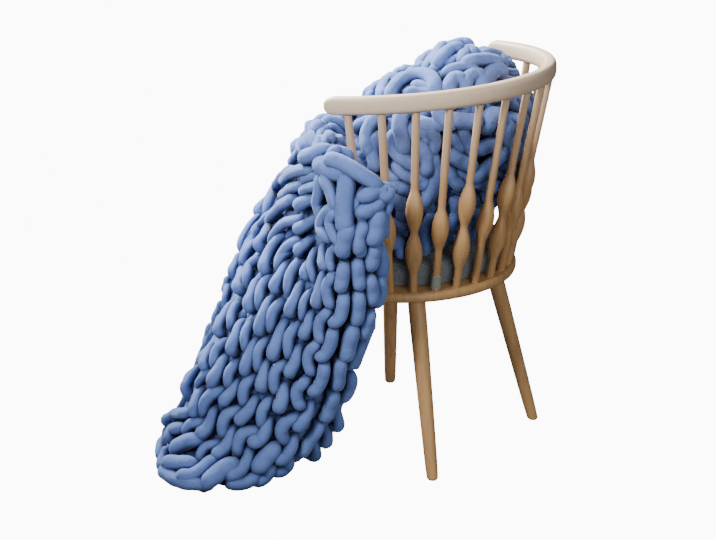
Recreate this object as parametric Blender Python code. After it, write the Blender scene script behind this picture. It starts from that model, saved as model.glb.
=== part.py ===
"""A chunky knit blanket lying in a spindle-back chair and falling over its open front to the floor.

Units are metres, +Z is up and the floor is z = 0. The chair is modelled around its own seat centre,
its open front towards -Y, and the whole part is then moved so that the origin is under its middle.
Each turned, bent or knitted piece is one closed solid in an object of its own.
"""
import math
from collections import namedtuple

import bmesh
import bpy
import numpy as np
from mathutils import Matrix, Vector

GAP = 0.0003                      # between pieces that touch

# Chair: a round seat plate, thirteen turned spindles round its back, a bent rail and four legs.
PLATE_TOP = 0.394
PLATE_THICKNESS = 0.022
PLATE_RADII = (0.250, 0.240)
FOOT_RING = (0.2358, 0.2257)      # radii across and along the chair of the ring of spindle feet
RAIL_RING = (0.3085, 0.3414)      # the same for the middle of the rail
RAIL_CENTRE_Y = -0.0346
RAIL_UNDERSIDE = 0.7703
RAIL_RISE = 0.0314                # how much higher the rail is at the back than at its sides
RAIL_HEIGHT = 0.038
RAIL_WIDTH = 0.027
RAIL_END_ANGLE = 81.5             # degrees from the back, on both sides
RAIL_STEPS = 48
SIDE_ANGLE = 72.75                # first and last spindle
NEAR_SPACING = 11.75
NEAR_COUNT = 9
FAR_COUNT = 4
SHAFT_RADIUS = 0.008
BULGE_HEIGHT = 0.010              # added to the shaft's radius
BULGE_HALF_LENGTH = 0.047
SINGLE_BULGE = (0.345,)           # places along the spindle, foot to rail
DOUBLE_BULGE = (0.215, 0.460)
LEG_TOPS = (0.1437, 0.1313)
LEG_FEET = (0.2007, 0.1700, 0.2150)   # across, forward of the centre, behind it
LEG_TOP_RADIUS = 0.0185
LEG_FOOT_RADIUS = 0.0120

# Seat cushion and the two loops that tie it to spindles.
CUSHION_RADIUS = 0.211
CUSHION_THICKNESS = 0.058
CUSHION_CROWN_RADIUS = 0.150      # flat middle
LOOP_SPINDLES = (4, 10)
LOOP_FOOT = 0.004                 # above the seat plate
LOOP_HEIGHT = 0.030
LOOP_THICKNESS = 0.002

# Blanket: a plain knit of thick stuffed yarn, COLUMNS stitches wide and ROWS long.
COLUMNS = 9
ROWS = 30
HALF_THICKNESS = 0.025
STITCH_RISE = 0.006               # how far the legs of a stitch stand out of the knit face
EDGE_SHARE = 0.50                 # thickness left at the very edge
EDGE_WIDTH = 0.30                 # in stitches
BEND_SHARE = 0.75                 # of a bend's inner radius that the sheet may fill
REST_REACH = 0.014                # an underside this close to its support lies flat on it

Section = namedtuple("Section", "name row near near_mid middle far_mid far")
SECTIONS = (
    Section("end", 0.00, (.300, -.035, .035), (.415, -.040, .032), (.520, -.120, .030),
            (.540, -.195, .030), (.470, -.290, .030)),
    Section("low", 2.55, (.288, .036, .137), (.371, .013, .147), (.462, -.130, .084),
            (.470, -.235, .070), (.405, -.322, .052)),
    Section("shin", 4.55, (.288, .102, .289), (.361, .070, .312), (.412, -.079, .223),
            (.451, -.215, .131), (.381, -.300, .104)),
    Section("mid", 6.55, (.288, .149, .439), (.358, .100, .460), (.371, -.030, .384),
            (.393, -.182, .271), (.330, -.274, .229)),
    Section("upper", 8.55, (.297, .161, .577), (.359, .108, .611), (.320, -.004, .523),
            (.294, -.154, .426), (.227, -.249, .394)),
    Section("ear", 9.50, (.302, .163, .625), (.357, .098, .656), (.312, -.028, .565),
            (.230, -.163, .488), (.160, -.263, .428)),
    Section("ridge", 10.40, (.313, .142, .656), (.346, .062, .684), (.285, -.062, .601),
            (.178, -.182, .528), (.103, -.277, .458)),
    Section("crown", 11.20, (.318, .090, .672), (.322, .010, .700), (.250, -.098, .622),
            (.125, -.210, .557), (.049, -.293, .491)),
    Section("wrap", 12.15, (.284, .004, .684), (.226, -.066, .704), (.160, -.135, .660),
            (.070, -.220, .590), (-.010, -.290, .520)),
    Section("lip", 13.20, (.224, -.010, .664), (.166, -.065, .690), (.100, -.140, .675),
            (.012, -.205, .622), (-.072, -.260, .567)),
    Section("rise1", 14.30, (.190, .030, .640), (.142, -.012, .698), (.080, -.065, .715),
            (-.012, -.142, .672), (-.099, -.206, .607)),
    Section("rise2", 15.50, (.166, .086, .615), (.138, .058, .730), (.058, -.003, .770),
            (-.039, -.083, .735), (-.130, -.154, .660)),
    Section("rise3", 16.70, (.131, .142, .620), (.124, .131, .750), (.031, .059, .805),
            (-.083, -.022, .780), (-.172, -.086, .700)),
    Section("peak", 18.00, (.079, .187, .625), (.064, .182, .760), (-.026, .123, .838),
            (-.124, .053, .815), (-.215, -.018, .740)),
    Section("back1", 19.20, (.028, .214, .620), (-.004, .221, .740), (-.096, .171, .812),
            (-.178, .110, .792), (-.246, .030, .715)),
    Section("back2", 20.50, (.004, .214, .585), (-.050, .230, .668), (-.141, .197, .712),
            (-.208, .124, .697), (-.240, .026, .645)),
    Section("back3", 21.90, (.010, .196, .538), (-.048, .192, .585), (-.123, .158, .612),
            (-.191, .091, .608), (-.220, .010, .590)),
    Section("heel", 23.40, (.040, .170, .495), (-.029, .130, .495), (-.099, .085, .500),
            (-.160, .034, .520), (-.196, -.028, .550)),
    Section("seat1", 24.60, (.102, .135, .488), (.018, .075, .486), (-.066, .015, .486),
            (-.143, -.041, .500), (-.176, -.075, .565)),
    Section("seat2", 26.40, (.176, .045, .486), (.096, -.015, .486), (.012, -.077, .486),
            (-.070, -.134, .490), (-.133, -.178, .516)),
    Section("fold1", 26.85, (.191, .026, .496), (.111, -.034, .496), (.027, -.096, .496),
            (-.055, -.153, .500), (-.118, -.197, .526)),
    Section("fold2", 27.30, (.197, .018, .520), (.117, -.042, .520), (.033, -.104, .520),
            (-.049, -.161, .524), (-.112, -.205, .550)),
    Section("fold3", 27.75, (.191, .026, .544), (.111, -.034, .544), (.027, -.096, .544),
            (-.055, -.153, .548), (-.118, -.197, .574)),
    Section("fold4", 28.20, (.176, .045, .554), (.096, -.015, .554), (.012, -.077, .554),
            (-.070, -.134, .558), (-.133, -.178, .584)),
    Section("top_end", 30.00, (.106, .128, .552), (.024, .070, .558), (-.060, .008, .575),
            (-.138, -.045, .600), (-.195, -.092, .640)),
)


# ---------------------------------------------------------------- scene and materials

def clear_scene():
    for item in list(bpy.data.objects):
        bpy.data.objects.remove(item, do_unlink=True)


def new_collection(name):
    group = bpy.data.collections.new(name)
    bpy.context.scene.collection.children.link(group)
    return group


def material(name, colour, roughness):
    item = bpy.data.materials.new(name)
    item.use_nodes = True
    shader = item.node_tree.nodes["Principled BSDF"]
    shader.inputs["Base Color"].default_value = (*colour, 1.0)
    shader.inputs["Roughness"].default_value = roughness
    shader.inputs["Metallic"].default_value = 0.0
    item.diffuse_color = (*colour, 1.0)
    return item


def add_object(name, bm, group, look):
    """Turns a bmesh into a named object with outward faces and round parts shaded smooth."""
    bmesh.ops.recalc_face_normals(bm, faces=bm.faces[:])
    mesh = bpy.data.meshes.new(name)
    bm.to_mesh(mesh)
    bm.free()
    mesh.materials.append(look)
    mesh.shade_smooth()
    mesh.set_sharp_from_angle(angle=math.radians(40.0))
    item = bpy.data.objects.new(name, mesh)
    group.objects.link(item)
    return item


# ---------------------------------------------------------------- turned and lofted shapes

def lean(bm, start, end):
    """Shears an upright piece of height 1, so that its axis runs from start to end."""
    shear = Matrix.Identity(4)
    for axis in range(3):
        shear[axis][2] = end[axis] - start[axis]
        shear[axis][3] = start[axis]
    bmesh.ops.transform(bm, matrix=shear, verts=bm.verts[:])


def turned(profile, steps):
    """A closed solid of revolution from (radius, height) pairs, bottom to top, height 0 to 1."""
    bm = bmesh.new()
    chain = [(0.0, profile[0][1]), *profile, (0.0, profile[-1][1])]
    points = [bm.verts.new((radius, 0.0, height)) for radius, height in chain]
    edges = [bm.edges.new(pair) for pair in zip(points, points[1:])]
    bmesh.ops.spin(bm, geom=points + edges, cent=(0, 0, 0), axis=(0, 0, 1),
                   angle=math.tau, steps=steps)
    bmesh.ops.remove_doubles(bm, verts=bm.verts[:], dist=0.00005)
    return bm


def loft(rings, endless=False):
    """A closed solid through rings of equally many points: capped at both ends, or endless."""
    bm = bmesh.new()
    rows = [[bm.verts.new(point) for point in ring] for ring in rings]
    count = len(rows[0])
    for low, high in zip(rows, rows[1:] + (rows[:1] if endless else [])):
        for i in range(count):
            j = (i + 1) % count
            bm.faces.new((low[i], low[j], high[j], high[i]))
    if not endless:
        bm.faces.new(rows[0][::-1])
        bm.faces.new(rows[-1])
    return bm


# ---------------------------------------------------------------- chair

def ring_point(radii, centre_y, angle):
    """A point of an upright-seen ellipse; the angle is in degrees from the back towards +X."""
    turn = math.radians(angle)
    return radii[0] * math.sin(turn), centre_y + radii[1] * math.cos(turn)


def rail_underside(angle):
    return RAIL_UNDERSIDE + RAIL_RISE * math.cos(math.radians(angle))


def spindle_angles():
    near = [SIDE_ANGLE - NEAR_SPACING * i for i in range(NEAR_COUNT)]
    far_spacing = (near[-1] + SIDE_ANGLE) / FAR_COUNT
    return near + [near[-1] - far_spacing * (i + 1) for i in range(FAR_COUNT)]


def spindle_ends(angle):
    """The foot on the plate, and the head just under the rail where that slopes down to it."""
    foot = Vector((*ring_point(FOOT_RING, 0.0, angle), PLATE_TOP + GAP))
    head = Vector((*ring_point(RAIL_RING, RAIL_CENTRE_Y, angle), rail_underside(angle)))
    slope = RAIL_RISE * abs(math.sin(math.radians(angle))) / RAIL_RING[0]
    head.z -= GAP + SHAFT_RADIUS * slope
    return foot, head


def spindle_profile(bulges, length):
    stations = np.linspace(0.0, 1.0, 15)
    for bulge in bulges:
        reach = BULGE_HALF_LENGTH / length
        stations = np.append(stations, bulge + reach * np.array([-1, -.7, -.35, 0, .35, .7, 1]))
    keep = []
    for place in sorted(stations):
        if not keep or place - keep[-1] > 0.022:
            keep.append(float(place))
    keep[-1] = 1.0
    profile = []
    for place in keep:
        swell = 0.0
        for bulge in bulges:
            away = abs(place - bulge) * length / BULGE_HALF_LENGTH
            if away < 1.0:
                swell += (1.0 - away * away) ** 1.3
        profile.append((SHAFT_RADIUS + BULGE_HEIGHT * swell, place))
    return profile


def make_spindles(group, look):
    for number, angle in enumerate(spindle_angles(), start=1):
        foot, head = spindle_ends(angle)
        bulges = DOUBLE_BULGE if number % 2 else SINGLE_BULGE
        bm = turned(spindle_profile(bulges, (head - foot).length), 10)
        lean(bm, foot, head)
        add_object(f"spindle_{number:02d}", bm, group, look)


def make_rail(group, look):
    """The bent rail: one rounded section swept round the back, drawn in at its two ends."""
    rings = []
    end_share = ((0.0, 0.45), (0.5, 0.80), (1.4, 0.96), (2.6, 1.0))
    inner = np.linspace(-RAIL_END_ANGLE + 5.0, RAIL_END_ANGLE - 5.0, RAIL_STEPS)
    stations = [(-RAIL_END_ANGLE + step, share) for step, share in end_share]
    stations += [(float(angle), 1.0) for angle in inner]
    stations += [(RAIL_END_ANGLE - step, share) for step, share in reversed(end_share)]
    for angle, share in stations:
        turn = math.radians(angle)
        x, y = ring_point(RAIL_RING, RAIL_CENTRE_Y, angle)
        outward = Vector((math.sin(turn) * RAIL_RING[1], math.cos(turn) * RAIL_RING[0], 0)).normalized()
        middle = Vector((x, y, rail_underside(angle) + RAIL_HEIGHT / 2))
        ring = []
        for side, level in ((-.30, -.50), (.30, -.50), (.48, -.30), (.50, .22),
                            (.34, .46), (.16, .50), (-.30, .50), (-.50, .30), (-.50, -.32)):
            ring.append(middle + outward * side * RAIL_WIDTH * share
                        + Vector((0, 0, level * RAIL_HEIGHT * share)))
        rings.append(ring)
    return add_object("rail", loft(rings), group, look)


def make_plate(group, look):
    bm = bmesh.new()
    bmesh.ops.create_cone(bm, cap_ends=True, segments=56, radius1=1.0, radius2=1.0, depth=1.0)
    size = Matrix.Diagonal((*PLATE_RADII, PLATE_THICKNESS, 1.0))
    place = Matrix.Translation((0, 0, PLATE_TOP - PLATE_THICKNESS / 2))
    bmesh.ops.transform(bm, matrix=place @ size, verts=bm.verts[:])
    rims = [edge for edge in bm.edges if abs(edge.verts[0].co.z - edge.verts[1].co.z) < 1e-6]
    bmesh.ops.bevel(bm, geom=rims, offset=0.005, offset_type="OFFSET", segments=2, profile=0.5,
                    affect="EDGES")
    return add_object("seat_plate", bm, group, look)


def make_legs(group, look):
    height = PLATE_TOP - PLATE_THICKNESS - GAP
    profile = [(LEG_FOOT_RADIUS * 0.72, 0.0), (LEG_FOOT_RADIUS, 0.012),
               (LEG_FOOT_RADIUS * 1.12, 0.15), (LEG_TOP_RADIUS, 0.80), (LEG_TOP_RADIUS, 1.0)]
    across, forward, behind = LEG_FEET
    for side, side_name in ((1, "near"), (-1, "far")):
        for depth, reach, end_name in ((-1, forward, "front"), (1, behind, "back")):
            top = Vector((side * LEG_TOPS[0], depth * LEG_TOPS[1], height))
            foot = Vector((side * across, depth * reach, 0.0))
            bm = turned(profile, 16)
            lean(bm, foot, top)
            add_object(f"leg_{side_name}_{end_name}", bm, group, look)


# ---------------------------------------------------------------- cushion and its loops

def cushion_top():
    return PLATE_TOP + GAP + CUSHION_THICKNESS


def make_cushion(group, look):
    """A round filled pad: flat where it lies, crowned on top and full at its welted side."""
    profile = [(CUSHION_RADIUS - 0.010, 0.0), (CUSHION_RADIUS - 0.002, 0.10),
               (CUSHION_RADIUS, 0.35), (CUSHION_RADIUS - 0.001, 0.62),
               (CUSHION_RADIUS - 0.010, 0.86), (CUSHION_RADIUS - 0.030, 0.96),
               (CUSHION_CROWN_RADIUS, 1.0)]
    bm = turned(profile, 40)
    lean(bm, Vector((0, 0, PLATE_TOP + GAP)), Vector((0, 0, cushion_top())))
    return add_object("cushion", bm, group, look)


def make_loops(group, look):
    """A webbing band round a spindle's foot, flattened where it meets the cushion."""
    angles = spindle_angles()
    turns = np.linspace(0.0, math.tau, 20, endpoint=False)
    for count, number in enumerate(LOOP_SPINDLES, start=1):
        foot, head = spindle_ends(angles[number - 1])
        axis = (head - foot) / (head.z - foot.z)
        inward = -foot.xy.normalized().to_3d()
        across = Vector((-inward.y, inward.x, 0.0))
        room = foot.xy.length - CUSHION_RADIUS - GAP
        rings = []
        for level, outer in ((0.0, 0), (0.0, 1), (LOOP_HEIGHT, 1), (LOOP_HEIGHT, 0)):
            rise = LOOP_FOOT + level
            radius = SHAFT_RADIUS + GAP + LOOP_THICKNESS * outer
            reach = room - LOOP_THICKNESS * (1 - outer) + axis.xy.length * rise
            rings.append([foot + axis * rise + inward * min(math.cos(turn) * radius, reach)
                          + across * math.sin(turn) * radius for turn in turns])
        add_object(f"cushion_loop_{count}", loft(rings, endless=True), group, look)


# ---------------------------------------------------------------- blanket

def smooth_through(knots, values, place):
    """A smooth curve through unevenly spaced stations, with no overshoot beyond its ends."""
    span = np.diff(knots)
    slope = np.diff(values, axis=0) / span[:, None, None]
    tangent = np.empty_like(values)
    tangent[0], tangent[-1] = slope[0], slope[-1]
    share = (span[1:] / (span[1:] + span[:-1]))[:, None, None]
    tangent[1:-1] = slope[:-1] * share + slope[1:] * (1 - share)
    i = int(np.clip(np.searchsorted(knots, place, side="right") - 1, 0, len(knots) - 2))
    t = (place - knots[i]) / span[i]
    return ((2 * t**3 - 3 * t**2 + 1) * values[i] + (t**3 - 2 * t**2 + t) * span[i] * tangent[i]
            + (3 * t**2 - 2 * t**3) * values[i + 1] + (t**3 - t**2) * span[i] * tangent[i + 1])


class Drape:
    """The blanket's middle surface: place(column, row) in metres, knit face outwards."""

    def __init__(self):
        self.rows = np.array([section.row for section in SECTIONS])
        self.lines = np.array([section[2:] for section in SECTIONS], float)
        self.columns = np.linspace(0.0, COLUMNS, 5)

    def place(self, column, row):
        line = smooth_through(self.rows, self.lines, row)
        return smooth_through(self.columns, line[:, None, :], column)[0]

    def outward(self, column, row, step=0.45):
        low_column, high_column = max(column - step, 0.0), min(column + step, COLUMNS)
        low_row, high_row = max(row - step, 0.0), min(row + step, ROWS)
        across = self.place(high_column, row) - self.place(low_column, row)
        along = self.place(column, high_row) - self.place(column, low_row)
        normal = np.cross(along, across)
        return normal / np.linalg.norm(normal)

    def room(self, column, row, side, reach=0.6):
        """How far the sheet can thicken on one side before a bend there pinches it."""
        best = 1.0
        for step_column, step_row in ((1, 0), (0, 1), (0.7, 0.7), (0.7, -0.7)):
            ends = [(min(max(column + sign * step_column * reach, 0.0), COLUMNS),
                     min(max(row + sign * step_row * reach, 0.0), ROWS)) for sign in (-1, 1)]
            chord = self.place(*ends[1]) - self.place(*ends[0])
            length = np.linalg.norm(chord)
            closing = -side * np.dot(self.outward(*ends[1]) - self.outward(*ends[0]), chord / length)
            if closing > 0.0:
                best = min(best, BEND_SHARE * length / closing)
        return best


def edge_share(column, row):
    """Thickness falls towards the blanket's four edges, as the side of a round yarn does."""
    away = min(column, COLUMNS - column, row, ROWS - row) / EDGE_WIDTH
    return 1.0 if away >= 1.0 else EDGE_SHARE + (1.0 - EDGE_SHARE) * math.sqrt(away)


def stitch_height(step_across, step_along):
    """Height of the knit face at the points of a stitch: two legs that overlap the row below."""
    on_leg = step_across % 2 == 1
    return STITCH_RISE * ((0.8, 1.0, 0.1)[step_along % 3] if on_leg else -1.0)


def rest_flat(point):
    """Points just above the floor or the cushion lie flat on it."""
    x, y, z = point
    if z < REST_REACH:
        return Vector((x, y, 0.0))
    seat = cushion_top() + GAP
    if math.hypot(x, y) < CUSHION_RADIUS and seat - REST_REACH < z < seat + REST_REACH:
        return Vector((x, y, seat))
    return Vector(point)


def make_blanket(group, look):
    """One closed solid: a knit face with its stitches raised in points, and a plain reverse."""
    drape = Drape()
    across, along = 4 * COLUMNS, 3 * ROWS
    bm = bmesh.new()

    def side_point(i, j, face):
        column, row = i / 4, j / 3
        if face > 0:
            leg_slant = (0.08, 0.0, -0.08)[j % 3] * (1 if i % 4 == 1 else -1 if i % 4 == 3 else 0)
            rise = HALF_THICKNESS + stitch_height(i, j)
            column = min(max(column + leg_slant, 0.0), COLUMNS)
        else:
            rise = -HALF_THICKNESS
        limit = drape.room(column, row, face)
        offset = face * min(abs(rise) * edge_share(column, row), limit)
        return rest_flat(drape.place(column, row) + drape.outward(column, row) * offset)

    front = [[bm.verts.new(side_point(i, j, 1)) for i in range(across + 1)] for j in range(along + 1)]
    back = [[bm.verts.new(side_point(2 * i, 2 * j, -1)) for i in range(across // 2 + 1)]
            for j in range(along // 2 + 1)]
    for grid, flip in ((front, False), (back, True)):
        for low, high in zip(grid, grid[1:]):
            for i in range(len(low) - 1):
                corners = (low[i], low[i + 1], high[i + 1], high[i])
                bm.faces.new(corners[::-1] if flip else corners)
    rims = ((front[0], back[0]), (front[-1], back[-1]),
            ([row[0] for row in front], [row[0] for row in back]),
            ([row[-1] for row in front], [row[-1] for row in back]))
    for fine, coarse in rims:
        for i in range(len(coarse) - 1):
            bm.faces.new((fine[2 * i], fine[2 * i + 1], coarse[i]))
            bm.faces.new((fine[2 * i + 1], coarse[i + 1], coarse[i]))
            bm.faces.new((fine[2 * i + 1], fine[2 * i + 2], coarse[i + 1]))
    bmesh.ops.triangulate(bm, faces=bm.faces[:])
    return add_object("blanket", bm, group, look)


# ---------------------------------------------------------------- whole part

def stand_on_origin(group):
    """Moves the part so that the origin lies under the middle of its box, on the floor."""
    bpy.context.view_layer.update()
    corners = [item.matrix_world @ vertex.co for item in group.objects for vertex in item.data.vertices]
    middle_x = (min(p.x for p in corners) + max(p.x for p in corners)) / 2
    middle_y = (min(p.y for p in corners) + max(p.y for p in corners)) / 2
    root = bpy.data.objects.new("blanket_on_chair", None)
    root.empty_display_size = 0.1
    members = list(group.objects)
    group.objects.link(root)
    for item in members:
        item.parent = root
    root.location = (-middle_x, -middle_y, 0.0)


def main():
    clear_scene()
    group = new_collection("knit_blanket_on_chair")
    rail_wood = material("rail_wood", (0.78, 0.70, 0.60), 0.45)
    leg_wood = material("leg_wood", (0.72, 0.52, 0.34), 0.45)
    yarn = material("yarn", (0.16, 0.27, 0.58), 0.90)
    felt = material("cushion_cloth", (0.13, 0.14, 0.14), 0.95)
    webbing = material("loop_webbing", (0.20, 0.22, 0.21), 0.90)
    make_rail(group, rail_wood)
    make_spindles(group, leg_wood)
    make_plate(group, leg_wood)
    make_legs(group, leg_wood)
    make_cushion(group, felt)
    make_loops(group, webbing)
    make_blanket(group, yarn)
    stand_on_origin(group)


main()
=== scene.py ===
"""Looks for the knit blanket on its spindle-back chair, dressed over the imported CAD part.

The blanket's middle surface, the chair's sizes and the nodes' names are the part's own. Everything
is made around the seat's centre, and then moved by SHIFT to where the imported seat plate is.
"""
import math

import bpy
import numpy as np
from mathutils import Matrix, Vector


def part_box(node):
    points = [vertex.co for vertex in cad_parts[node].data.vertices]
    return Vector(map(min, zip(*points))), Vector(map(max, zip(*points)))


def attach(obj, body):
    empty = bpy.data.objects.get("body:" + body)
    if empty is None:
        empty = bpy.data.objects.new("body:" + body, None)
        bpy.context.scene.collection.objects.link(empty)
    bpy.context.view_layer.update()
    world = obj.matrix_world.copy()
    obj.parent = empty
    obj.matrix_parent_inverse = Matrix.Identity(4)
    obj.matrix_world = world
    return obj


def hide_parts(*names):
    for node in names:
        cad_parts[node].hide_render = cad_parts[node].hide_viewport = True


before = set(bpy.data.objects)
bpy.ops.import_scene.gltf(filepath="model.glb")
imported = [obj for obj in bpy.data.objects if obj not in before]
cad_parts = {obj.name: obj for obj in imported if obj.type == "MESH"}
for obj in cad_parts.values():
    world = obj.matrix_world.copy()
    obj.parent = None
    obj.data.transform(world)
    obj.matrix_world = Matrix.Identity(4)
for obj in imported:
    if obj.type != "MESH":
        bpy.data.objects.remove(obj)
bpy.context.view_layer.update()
LOW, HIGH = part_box("seat_plate")
SHIFT = Vector(((LOW[0] + HIGH[0]) / 2, (LOW[1] + HIGH[1]) / 2, 0.0))

# ------ sizes shared with the part
# In metres and degrees. The rings are ellipses, given by their two half-axes.
GAP = 0.0003  # between solids that touch on the real chair
PLATE_TOP = 0.394
PLATE_THICKNESS = 0.022
PLATE_RADII = (0.250, 0.240)
FOOT_RING = (0.2358, 0.2257)  # on which the spindles stand
RAIL_RING = (0.3085, 0.3414)
RAIL_CENTRE_Y = -0.0346
RAIL_UNDERSIDE = 0.7703
RAIL_RISE = 0.0314  # of its back over its sides
RAIL_HEIGHT = 0.038
RAIL_WIDTH = 0.027
RAIL_END_ANGLE = 81.5
SIDE_ANGLE = 72.75  # of the first and the last spindle
NEAR_SPACING = 11.75
NEAR_COUNT = 9
FAR_COUNT = 4
SHAFT_RADIUS = 0.008
BULGE_HEIGHT = 0.010
BULGE_HALF_LENGTH = 0.047
SINGLE_BULGE = (0.345,)  # share of the spindle's length
DOUBLE_BULGE = (0.215, 0.460)
LEG_TOPS = (0.1437, 0.1313)
LEG_FEET = (0.2007, 0.1700, 0.2150)  # across, to the front, to the back
LEG_TOP_RADIUS = 0.0185
LEG_FOOT_RADIUS = 0.0120
COLUMNS = 9
ROWS = 30
YARN = 0.032  # thickness of the stuffed yarn

# Blanket's middle surface: row, then five points across it from the near edge to the far edge.
SECTIONS = (
    (0, (.300, -.035, .035), (.415, -.040, .032), (.520, -.120, .030), (.540, -.195, .030),
     (.470, -.290, .030)),
    (2.55, (.288, .036, .137), (.371, .013, .147), (.462, -.130, .084), (.470, -.235, .070),
     (.405, -.322, .052)),
    (4.55, (.288, .102, .289), (.361, .070, .312), (.412, -.079, .223), (.451, -.215, .131),
     (.381, -.300, .104)),
    (6.55, (.288, .149, .439), (.358, .100, .460), (.371, -.030, .384), (.393, -.182, .271),
     (.330, -.274, .229)),
    (8.55, (.297, .161, .577), (.359, .108, .611), (.320, -.004, .523), (.294, -.154, .426),
     (.227, -.249, .394)),
    (9.5, (.302, .163, .625), (.357, .098, .656), (.312, -.028, .565), (.230, -.163, .488),
     (.160, -.263, .428)),
    (10.4, (.313, .142, .656), (.346, .062, .684), (.285, -.062, .601), (.178, -.182, .528),
     (.103, -.277, .458)),
    (11.2, (.318, .090, .672), (.322, .010, .700), (.250, -.098, .622), (.125, -.210, .557),
     (.049, -.293, .491)),
    (12.15, (.284, .004, .684), (.226, -.066, .704), (.160, -.135, .660), (.070, -.220, .590),
     (-.010, -.290, .520)),
    (13.2, (.224, -.010, .664), (.166, -.065, .690), (.100, -.140, .675), (.012, -.205, .622),
     (-.072, -.260, .567)),
    (14.3, (.190, .030, .640), (.142, -.012, .698), (.080, -.065, .715), (-.012, -.142, .672),
     (-.099, -.206, .607)),
    (15.5, (.166, .086, .615), (.138, .058, .730), (.058, -.003, .770), (-.039, -.083, .735),
     (-.130, -.154, .660)),
    (16.7, (.131, .142, .620), (.124, .131, .750), (.031, .059, .805), (-.083, -.022, .780),
     (-.172, -.086, .700)),
    (18, (.079, .187, .625), (.064, .182, .760), (-.026, .123, .838), (-.124, .053, .815),
     (-.215, -.018, .740)),
    (19.2, (.028, .214, .620), (-.004, .221, .740), (-.096, .171, .812), (-.178, .110, .792),
     (-.246, .030, .715)),
    (20.5, (.004, .214, .585), (-.050, .230, .668), (-.141, .197, .712), (-.208, .124, .697),
     (-.240, .026, .645)),
    (21.9, (.010, .196, .538), (-.048, .192, .585), (-.123, .158, .612), (-.191, .091, .608),
     (-.220, .010, .590)),
    (23.4, (.040, .170, .495), (-.029, .130, .495), (-.099, .085, .500), (-.160, .034, .520),
     (-.196, -.028, .550)),
    (24.6, (.102, .135, .488), (.018, .075, .486), (-.066, .015, .486), (-.143, -.041, .500),
     (-.176, -.075, .565)),
    (26.4, (.176, .045, .486), (.096, -.015, .486), (.012, -.077, .486), (-.070, -.134, .490),
     (-.133, -.178, .516)),
    (26.85, (.191, .026, .496), (.111, -.034, .496), (.027, -.096, .496), (-.055, -.153, .500),
     (-.118, -.197, .526)),
    (27.3, (.197, .018, .520), (.117, -.042, .520), (.033, -.104, .520), (-.049, -.161, .524),
     (-.112, -.205, .550)),
    (27.75, (.191, .026, .544), (.111, -.034, .544), (.027, -.096, .544), (-.055, -.153, .548),
     (-.118, -.197, .574)),
    (28.2, (.176, .045, .554), (.096, -.015, .554), (.012, -.077, .554), (-.070, -.134, .558),
     (-.133, -.178, .584)),
    (30, (.106, .128, .552), (.024, .070, .558), (-.060, .008, .575), (-.138, -.045, .600),
     (-.195, -.092, .640)),
)


# ------ sizes of the knit's looks
# Depths and heights are in yarn thicknesses, and places in columns and rows of stitches.
DEPTH = 0.78  # from the middle surface to the back of the knit
HEAP_DEPTH = 1.25  # the same inside the heap, where the back is hidden
LOOP_FULL = 1.06  # how full the drawn loops are
HEAP_FULL = 0.92
FLOOR_GAP = 0.0005  # metres, under the yarn that lies on the floor
YARN_SQUASH = 0.94  # its thickness towards the blanket, as a share of its width
YARN_SIDES = 12  # of a tube
LOOP_SIDES = 14
BACK_SIDES = 10
END_SHARES = (0.05, 0.6, 0.85, 0.97)  # of its radius, at the first points of a tube's rounded end

UNEVEN_HEIGHT = 0.05  # spread between one stitch and the next
UNEVEN_RADIUS = 0.03
UNEVEN_LEAN = 0.025

LOOP_SINK = 1.4  # most that the knit is pressed down under a drawn loop
SINK_REACH = 1.8  # from a loop's middle, where that ends
SINK_FADE = 1.6  # columns from the far edge, within which the knit sinks less
SINK_AT_EDGE = 0.5  # and the least share there

TUCK_REACH = 0.35  # share of a loop's last step by which its hidden end runs on
TUCK_DROP = 0.75
TUCK_SHARES = (0.7, 0.95)  # of the radius, at that end and at the point before it

BACK_SHARE = 0.96  # thickness of the yarn on the reverse
BACK_LINES = ((0.22, 1), (0.72, -1))  # place in the row, and which way it sways
BACK_SWAY = 0.15
BACK_INSET = 0.05  # from both edges

EDGE_ROWS = 12  # that have strands along their far edge
EDGE_RISES = (0.0, 0.45)  # of the two strands where they part
EDGE_PARTING = 8  # row from which they part
EDGE_INSET = 0.08
EDGE_SWAY = 0.10

# ------ colours and light
PAINTED_SHADE_REACH = 0.070  # metres, within which other yarn darkens a gap with painted shade, down to the tint below
PAINTED_SHADE_TINT = (0.05, 0.06, 0.13)
YARN_DEEP = (0.110, 0.180, 0.470)
YARN_PALE = (0.175, 0.275, 0.640)
PAINTED_LIGHT_TONE = (0.74, 0.58, 0.43)  # painted light: the paler tone that the wood takes near the rail
PAINTED_LIGHT_SPAN = (0.58, 0.80)  # heights between which that painted light comes in
PAINTED_LIGHT_MOST = 0.6
FLOOR_GREY = (0.08, 0.08, 0.085)
FLOOR_GLOW = 11.0
FLOOR_HALF_SIDE = 9
SKY_STRENGTH = 0.16

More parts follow.
